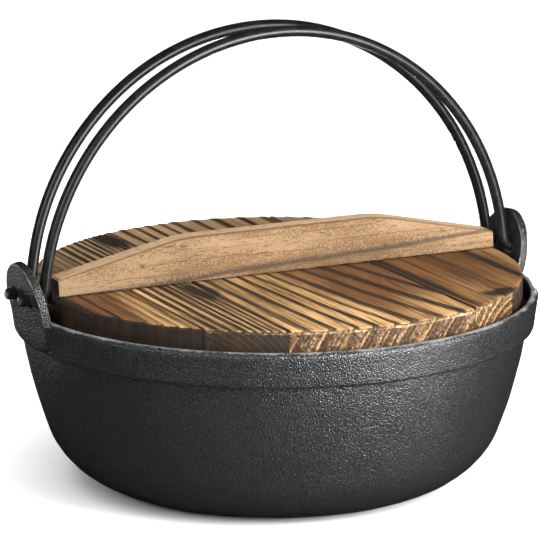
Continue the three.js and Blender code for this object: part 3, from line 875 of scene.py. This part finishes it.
# Pegs: eight short bamboo pins, glued into holes in the board joints, two to a joint. They keep the
# boards level and are out of sight in the lid.
PEG_STEPS = 24
PEG_POINT = 0.001
PEG_RELIEF = 0.0002
BAMBOO_PALE = (0.60, 0.45, 0.22, 1)
BAMBOO_BROWN = (0.33, 0.21, 0.085, 1)


def bamboo():
    """Split bamboo: pale, with brown fibres along the peg."""
    material, tree, shader, where = new_material("bamboo")
    along_peg = place(tree, "ShaderNodeMapping", {"Vector": where, "Rotation": (0, 0, math.pi / 2)})
    fibre = use_group(tree, wood_fibre, {"Vector": along_peg.outputs["Vector"], "Streak Scale": 1600.0})
    tone = mix(tree, ease(tree, fibre["Streak"], 0.35, 0.7), BAMBOO_PALE, BAMBOO_BROWN)
    surface = {
        "Base Color": tone, "Roughness": 0.55, "Normal": relief(tree, fibre["Streak"], 0.3, PEG_RELIEF)
    }
    feed(tree, shader, surface)
    return material


bamboo_finish = bamboo()
for index, name in enumerate(PEG_NAMES):
    low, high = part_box(name)
    middle = (low + high) / 2
    ends = [Vector((x, middle.y, middle.z)) for x in (low.x, high.x)]
    bm = bmesh.new()
    add_round_bar(bm, ends[0], ends[1], (high.z - low.z) / 2, PEG_STEPS)
    round_edges(bm, SQUARE_EDGE, PEG_POINT, segments=2)
    peg = new_piece(f"bamboo_peg_{index + 1}", bm)
    peg.data.materials.append(bamboo_finish)
    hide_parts(name)
    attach(peg, "lid")


# Bar: a grip sawn from one softwood plank, thick at the foot, with long sloping ends. A dovetail along
# its foot slides into a groove across the boards. Its faces are left rough from the saw.
bar_low, bar_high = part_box("lid_bar")
BAR_END = (bar_high.x - bar_low.x) / 2
BAR_X = (bar_high.x + bar_low.x) / 2
BAR_Y = (bar_high.y + bar_low.y) / 2
BAR_FOOT = LID_TOP + SEAT_GAP
BAR_TOP = bar_high.z
BAR_END_HEIGHT = 0.0085
BAR_TOP_HALF = 0.054
BAR_SHOULDER_ROUND = 0.009
BAR_HALF_FOOT = 0.0065
BAR_HALF_TOP = 0.0043
BAR_EDGE_ROUND = 0.0006
BAR_CORNER = math.radians(50)
BAR_CUTS = (149, 7, 15)
BAR_SAW_DEPTH = 0.00010
SAW_SCALE = 420
SAW_OCTAVES = (0.8, 2.0, 3)
SAW_LEVEL = 0.3
BAR_RINGS = (-0.040, -0.020, 0.0042, 0.060)
BAR_GRAIN_SLOPE = 0.047
BAR_GRAIN_TILT = 0.35
BAR_SWAY = 0.0016
BAR_SWAY_ALONG = 9.0
BAR_SWAY_UP = 20.0
BAR_SWAY_SEED = 3.1
BAR_RIPPLE = 0.0005
BAR_RIPPLE_ALONG = 45.0
BAR_RIPPLE_ACROSS = 30.0
BAR_RIPPLE_SEED = 7.7
SQUARE_ON = 0.8
END_ARRIS = (0.4, 0.9)
TOP_ARRIS = (0.15, 0.95)


def bar_top(x):
    """The height of the bar's top edge: level in the middle, then sloping to the ends."""
    slope = (BAR_TOP - LID_TOP - BAR_END_HEIGHT) / (BAR_END - BAR_TOP_HALF)
    past = abs(x) - BAR_TOP_HALF
    if past > BAR_SHOULDER_ROUND:
        return BAR_TOP - slope * past
    if past < -BAR_SHOULDER_ROUND:
        return BAR_TOP
    return BAR_TOP - slope * (past + BAR_SHOULDER_ROUND) ** 2 / (4 * BAR_SHOULDER_ROUND)


def bar_ring(point):
    """The ring number at a point of the bar, where the rings lie nearly level and rise to the right."""
    x, y, z = point
    sway = BAR_SWAY * noise.noise((x * BAR_SWAY_ALONG, z * BAR_SWAY_UP, BAR_SWAY_SEED))
    ripple = BAR_RIPPLE * noise.noise((x * BAR_RIPPLE_ALONG, y * BAR_RIPPLE_ACROSS, BAR_RIPPLE_SEED))
    level = z - BAR_FOOT - BAR_GRAIN_SLOPE * (x - BAR_X) + BAR_GRAIN_TILT * (y - BAR_Y)
    height = level + sway + ripple
    ring = bisect.bisect_right(BAR_RINGS, height) - 1
    inner, outer = BAR_RINGS[ring], BAR_RINGS[ring + 1]
    return ring + (height - inner) / (outer - inner)


def sawn_bar():
    """The bar as a finely divided block, drawn to the grip's outline and taper."""
    bm = bmesh.new()
    bmesh.ops.create_cube(bm, size=2)
    for axis, cuts in enumerate(BAR_CUTS):
        along = [edge for edge in bm.edges if abs(edge.verts[0].co[axis] - edge.verts[1].co[axis]) > 0.5]
        bmesh.ops.subdivide_edges(bm, edges=along, cuts=cuts, use_grid_fill=True)
    for vert in bm.verts:
        along, across, up = vert.co
        x = along * BAR_END
        z = BAR_FOOT + (up + 1) / 2 * (bar_top(x) - BAR_FOOT)
        rise = (z - BAR_FOOT) / (BAR_TOP - BAR_FOOT)
        half = BAR_HALF_FOOT + (BAR_HALF_TOP - BAR_HALF_FOOT) * rise
        vert.co = (BAR_X + x, BAR_Y + across * half, z)
    bmesh.ops.recalc_face_normals(bm, faces=bm.faces)
    round_edges(bm, BAR_CORNER, BAR_EDGE_ROUND, segments=2)
    bm.normal_update()
    names = ("ring", "end_grain", "rim", "handled", "darker_arris")
    rings, ends, rim, handled, darker_arris = (bm.verts.layers.float.new(name) for name in names)
    for vert in bm.verts:
        endward = abs(vert.normal.x)
        upward = vert.normal.z
        vert[rings] = bar_ring(vert.co)
        vert[ends] = 1 if endward > SQUARE_ON else 0
        vert[handled] = 1 if upward > SQUARE_ON else 0
        if endward > END_ARRIS[0]:
            vert[rim] = 1 if endward < END_ARRIS[1] else 0
        elif TOP_ARRIS[0] < upward < TOP_ARRIS[1]:
            vert[darker_arris] = 1
        saw = noise.fractal(vert.co * SAW_SCALE, *SAW_OCTAVES)
        vert.co += vert.normal * BAR_SAW_DEPTH * min(0, saw - SAW_LEVEL)
    return bm


BAR_TAN = (0.122, 0.069, 0.033, 1)
BAR_LIGHT = (0.270, 0.177, 0.099, 1)
BAR_LATE = (0.046, 0.035, 0.027, 1)
BAR_PORE = (0.080, 0.039, 0.017, 1)
BAR_RUBBED = (0.46, 0.32, 0.19, 1)
BAR_ROUGHNESS = (0.7, 0.85)
FUZZ_SCALE = 1200.0
PAINTED_LIGHT_RIGHT_END = (0.02, 0.08)
PAINTED_LIGHT_LEFT_END = (-0.10, -0.04)


def sawn_wood():
    """Rough-sawn softwood: tan, fuzzy, speckled with short pores, with soft grey-brown late wood."""
    material, tree, shader, where = new_material("sawn_wood")
    along_bar = place(tree, "ShaderNodeMapping", {"Vector": where, "Rotation": (0, 0, math.pi / 2)})
    fibre = use_group(tree, wood_fibre, {"Vector": along_bar.outputs["Vector"], "Streak Scale": 700.0})
    fuzz = cloud(tree, where, FUZZ_SCALE, 5.0, 0.75)
    stray = calc(tree, "SUBTRACT", fuzz, 0.5)
    fuzzy_ring = calc(tree, "MULTIPLY_ADD", stray, 0.10, attribute(tree, "ring"))
    grain = use_group(tree, ring_tone, {"Ring": fuzzy_ring, "Late From": 0.83, "Late Full": 0.885})
    drift = cloud(tree, stretched(tree, where, (0.3, 1.0, 1.0)), 40.0, 3.0)
    along = place(tree, "ShaderNodeSeparateXYZ", {0: where}).outputs["X"]
    # Painted light and shade: paler towards both ends, darker through the middle.
    right_end_light = ease(tree, along, *PAINTED_LIGHT_RIGHT_END, -0.05, 0.12)
    left_end_light = ease(tree, along, *PAINTED_LIGHT_LEFT_END, 0.08, 0.0)
    paler = calc(tree, "ADD", drift, calc(tree, "ADD", left_end_light, right_end_light))
    plain = mix(tree, ease(tree, calc(tree, "ADD", paler, fuzz), 0.83, 1.13), BAR_TAN, BAR_LIGHT)
    rubbed = mix(tree, calc(tree, "MULTIPLY", attribute(tree, "handled"), 0.8), plain, BAR_RUBBED)
    streaked = mix(tree, ease(tree, fibre["Streak"], 0.48, 0.72, 0.0, 0.6), rubbed, BAR_PORE)
    specked = mix(tree, calc(tree, "MULTIPLY", fibre["Pore"], 0.8), streaked, BAR_PORE)
    late = calc(tree, "MULTIPLY", grain["Late"], ease(tree, fuzz, 0.3, 0.6, 0.95, 0.7))
    # Darker along the upward-turning arrises of the top.
    edged = mix(tree, calc(tree, "MULTIPLY", attribute(tree, "darker_arris"), 0.75), specked, BAR_PORE)
    face = mix(tree, late, edged, BAR_LATE)
    # The end faces are near-black: partly charred, partly painted shade.
    sooty_and_shaded = mix(tree, ease(tree, fuzz, 0.55, 0.7), WOOD_SOOT_AND_SHADE, BAR_TAN)
    shown = mix(tree, attribute(tree, "end_grain"), face, sooty_and_shaded)
    worn = {"Vector": where, "Mask": attribute(tree, "rim"), "Speck Scale": 500.0}
    wear = use_group(tree, edge_wear, worn)["Wear"]
    height = calc(tree, "ADD", fuzz, calc(tree, "MULTIPLY", fibre["Streak"], 0.5))
    surface = {
        "Base Color": mix(tree, wear, shown, END_PALE),
        "Roughness": ease(tree, fuzz, 0.3, 0.7, *BAR_ROUGHNESS),
        "Specular IOR Level": WOOD_SPECULAR,
        "Normal": relief(tree, height, 0.5, WOOD_RELIEF),
    }
    feed(tree, shader, surface)
    return material


TONGUE_FOOT = LID_TOP - DOVETAIL_DEPTH + SEAT_GAP
TONGUE_MOUTH = BAR_FOOT + 2 * BAR_EDGE_ROUND
TONGUE_END = BAR_END - BAR_EDGE_ROUND
bar = new_piece("sawn_bar", sawn_bar())
tongue = dovetail(TONGUE_FOOT, TONGUE_MOUTH, DOVETAIL_HALF_NECK, TONGUE_END)
combine(bar, new_piece("tongue", tongue), "UNION")
for index, vert in enumerate(bar.data.vertices):
    if vert.co.z < BAR_FOOT - SEAT_GAP:
        bar.data.attributes["end_grain"].data[index].value = 1
bar.data.materials.append(sawn_wood())
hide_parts("lid_bar")
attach(bar, "lid")


# Bails: two arches of drawn steel wire, blackened in oil, bent cold and sprung into the holes of the
# ears, so that each swings on its own two hooks. The sheared ends stand a little proud of the ears.
WIRE_RADIUS = 0.00275
WIRE_STEPS = 28
ARCH_RADIUS = 0.1259
ARCH_CENTRE_DROP = 0.0075
ARCH_TURN_STEPS = 150
HOOK_RADIUS = 0.0055
HOOK_STEPS = 12
TIP_ROUND = 0.0014
BAIL_LEANS = {"front_bail": math.radians(0.8), "rear_bail": math.radians(3.7)}
WIRE_WAVER = 0.00022
WAVER_SEED = 7
WAVER_SCALE = 14
WAVER_SHIFT = 900
WAVER_FULL_HEIGHT = 0.03
SHEARED_LENGTH = 0.0002
SHEARED_WEAR = 0.68
HOOK_WEAR_HEIGHT = 0.008
HOOK_WEAR = 0.5


def wire_bail(half_length):
    """One bail about its pivot axis: tip, hook, arch, hook, tip."""
    hook_lift = ARCH_CENTRE_DROP + HOOK_RADIUS
    hook_reach = ARCH_RADIUS + HOOK_RADIUS
    low_angle = math.asin(hook_lift / hook_reach)
    hook_x = math.sqrt(hook_reach**2 - hook_lift**2)
    bm = bmesh.new()
    made = bmesh.ops.create_circle(bm, cap_ends=False, segments=WIRE_STEPS, radius=WIRE_RADIUS)
    stand = Matrix.Translation((half_length, 0, 0)) @ Matrix.Rotation(math.pi / 2, 4, "Y")
    bmesh.ops.transform(bm, matrix=stand, verts=made["verts"])
    ring = bm.verts[:] + bm.edges[:]
    hook_turn = math.pi / 2 - low_angle
    ring = sweep_straight(bm, ring, (hook_x - half_length, 0, 0))
    ring = sweep_arc(bm, ring, (hook_x, 0, HOOK_RADIUS), (0, 1, 0), hook_turn, HOOK_STEPS)
    arch_centre = (0, 0, -ARCH_CENTRE_DROP)
    ring = sweep_arc(bm, ring, arch_centre, (0, -1, 0), math.pi - 2 * low_angle, ARCH_TURN_STEPS)
    ring = sweep_arc(bm, ring, (-hook_x, 0, HOOK_RADIUS), (0, 1, 0), hook_turn, HOOK_STEPS)
    sweep_straight(bm, ring, (hook_x - half_length, 0, 0))
    bmesh.ops.holes_fill(bm, edges=bm.edges, sides=0)
    bmesh.ops.recalc_face_normals(bm, faces=bm.faces)
    round_edges(bm, SQUARE_EDGE, TIP_ROUND, segments=3)
    return bm


WIRE_BLACK = (0.0040, 0.0042, 0.0044, 1)
WIRE_GREY = (0.0095, 0.0100, 0.0102, 1)
WIRE_ROUGHNESS = (0.30, 0.38)
WIRE_RELIEF = 0.0003
FLAKE_SCALE = 320.0
FINE_SCALE = 1500.0


def black_wire():
    """Black oxide on drawn steel: satin, with faint scale, and bare specks on the hooks and the ends."""
    material, tree, shader, where = new_material("black_wire")
    flakes = cloud(tree, where, FLAKE_SCALE, 4.0, 0.6)
    fine = cloud(tree, where, FINE_SCALE, 3.0)
    worn = {"Vector": where, "Mask": attribute(tree, "worn"), "Speck Scale": 700.0}
    wear = use_group(tree, edge_wear, worn)["Wear"]
    oxide = mix(tree, ease(tree, flakes, 0.35, 0.7), WIRE_BLACK, WIRE_GREY)
    height = calc(tree, "ADD", flakes, calc(tree, "MULTIPLY", fine, 0.4))
    surface = {
        "Base Color": mix(tree, wear, oxide, IRON_BARE_AND_SHEEN),
        "Roughness": ease(tree, flakes, 0.3, 0.75, *WIRE_ROUGHNESS),
        "Metallic": calc(tree, "MULTIPLY", wear, 0.6),
        "Specular IOR Level": 0.3,
        "Normal": relief(tree, height, 0.06, WIRE_RELIEF),
    }
    feed(tree, shader, surface)
    return material


wire_finish = black_wire()
noise.seed_set(WAVER_SEED)
for name, hinge in (("front_bail", front_hinge), ("rear_bail", rear_hinge)):
    low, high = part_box(name)
    half_length = (high.x - low.x) / 2
    bm = wire_bail(half_length)
    worn = bm.verts.layers.float.new("worn")
    shift = Vector((0, 0, hinge["pos_m"][1] * WAVER_SHIFT))
    for vert in bm.verts:
        sheared = abs(vert.co.x) > half_length - SHEARED_LENGTH
        hooked = max(0, 1 - abs(vert.co.z) / HOOK_WEAR_HEIGHT)
        vert[worn] = SHEARED_WEAR if sheared else HOOK_WEAR * hooked
        bend = noise.noise_vector(vert.co * WAVER_SCALE + shift)
        vert.co += bend * WIRE_WAVER * min(1, max(0, vert.co.z) / WAVER_FULL_HEIGHT)
    stand = Matrix.Translation(hinge["pos_m"]) @ Matrix.Rotation(-BAIL_LEANS[name], 4, "X")
    bmesh.ops.transform(bm, matrix=stand, verts=bm.verts)
    bail = new_piece(f"wire_{name}", bm)
    bail.data.materials.append(wire_finish)
    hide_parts(name)
    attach(bail, name)


# Stage: a plain pale floor under an even overhead light, with a soft box at the front right, a weak one
# at the front left and two low strips behind, and the camera at the photograph's angle. The sky and the
# overhead light are kept out of reflections, so that the iron and the wires stay dark.
FLOOR_HALF = 9.0
FLOOR_CLOUDS = 3.0
FLOOR_PALE = (0.96, 0.96, 0.955, 1)
FLOOR_GREY = (0.94, 0.94, 0.935, 1)
bm = bmesh.new()
bmesh.ops.create_grid(bm, x_segments=2, y_segments=2, size=FLOOR_HALF)
floor = new_piece("floor", bm)
floor_finish, tree, shader, where = new_material("pale_floor")
pale = mix(tree, cloud(tree, where, FLOOR_CLOUDS), FLOOR_PALE, FLOOR_GREY)
feed(tree, shader, {"Base Color": pale, "Roughness": 0.9, "Specular IOR Level": 0.0})
floor.data.materials.append(floor_finish)
floor.visible_glossy = False

WORLD_ABOVE = 0.9
WORLD_BELOW = 0.05
WORLD_RISE = (0.15, 0.95)
world = bpy.data.worlds.new("studio")
world.use_nodes = True
tree = world.node_tree
direction = place(tree, "ShaderNodeTexCoord").outputs["Generated"]
height = place(tree, "ShaderNodeSeparateXYZ", {0: direction}).outputs["Z"]
glow = ease(tree, height, *WORLD_RISE, WORLD_BELOW, WORLD_ABOVE)
feed(tree, tree.nodes["Background"], {"Strength": glow, "Color": (1, 1, 1, 1)})
world.cycles_visibility.glossy = False
bpy.context.scene.world = world


def add_light(name, kind, azimuth, elevation, distance, strength):
    """A light that faces the middle of the pot's rim from a compass angle and a height angle."""
    light = bpy.data.lights.new(name, kind)
    light.energy = strength
    turn, rise = math.radians(azimuth), math.radians(elevation)
    aim = Vector((math.cos(turn) * math.cos(rise), math.sin(turn) * math.cos(rise), math.sin(rise)))
    lamp = bpy.data.objects.new(name, light)
    lamp.location = aim * distance + Vector((0, 0, POT_HEIGHT))
    lamp.rotation_euler = aim.to_track_quat("Z", "Y").to_euler()
    lamp.visible_camera = False
    bpy.context.scene.collection.objects.link(lamp)
    return lamp


def soft_box(name, azimuth, elevation, distance, width, height, watts):
    """A rectangular soft box."""
    light = add_light(name, "AREA", azimuth, elevation, distance, watts).data
    light.shape = "RECTANGLE"
    light.size = width
    light.size_y = height


overhead = add_light("overhead_light", "SUN", azimuth=-120, elevation=72, distance=2.0, strength=2.3)
overhead.data.angle = math.radians(70)
overhead.visible_glossy = False
soft_box("key_light", azimuth=-69, elevation=11, distance=0.6, width=0.24, height=0.34, watts=9)
soft_box("fill_light", azimuth=-150, elevation=25, distance=1.4, width=0.4, height=0.4, watts=6)
soft_box("back_light", azimuth=55, elevation=-5, distance=0.55, width=0.3, height=0.08, watts=3)
soft_box("ear_light", azimuth=118, elevation=-4, distance=0.55, width=0.12, height=0.08, watts=0.3)

CAMERA_AZIMUTH = math.radians(26.45)
CAMERA_ELEVATION = math.radians(13.85)
CAMERA_DISTANCE = 1.626
CAMERA_AIM = Vector((-0.0009, 0.0026, 0.1018))
CAMERA_LENS = 219.7
CAMERA_SENSOR = 36
back = Vector((
    -math.sin(CAMERA_AZIMUTH) * math.cos(CAMERA_ELEVATION),
    -math.cos(CAMERA_AZIMUTH) * math.cos(CAMERA_ELEVATION),
    math.sin(CAMERA_ELEVATION),
))
lens = bpy.data.cameras.new("camera")
lens.lens = CAMERA_LENS
lens.sensor_width = CAMERA_SENSOR
camera = bpy.data.objects.new("camera", lens)
camera.location = Vector((0, 0, POT_HEIGHT)) + back * CAMERA_DISTANCE
camera.rotation_euler = (camera.location - CAMERA_AIM).to_track_quat("Z", "Y").to_euler()
bpy.context.scene.collection.objects.link(camera)
bpy.context.scene.camera = camera
bpy.context.scene.view_settings.view_transform = "Standard"
